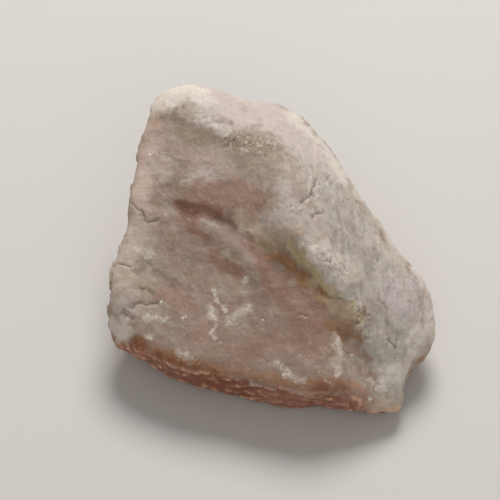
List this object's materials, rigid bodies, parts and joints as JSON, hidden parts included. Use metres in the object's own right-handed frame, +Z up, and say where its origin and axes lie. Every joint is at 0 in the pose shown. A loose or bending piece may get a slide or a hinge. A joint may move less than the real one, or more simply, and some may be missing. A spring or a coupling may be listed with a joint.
{
  "type": "rough mangano calcite",
  "caption": "Rough broken lump of pale pink calcite: a sloping hollow face under a slanting crest, a blunt cream corner, and a steep granular front edge.",
  "frame": {"origin": "on the flat face it rests on, under the middle of its box", "axes": "+Z up from the resting face, +X to the right and -Y towards a viewer who faces the steep front edge"},
  "size_m": [0.0636, 0.0624, 0.0309],
  "materials": {
    "calcite": "natural broken surface, cloudy and slightly translucent, dull with fine glints, white bruises and ochre stains"
  },
  "bodies": {
    "root": {"mangano_calcite": "calcite"}
  },
  "joints": []
}
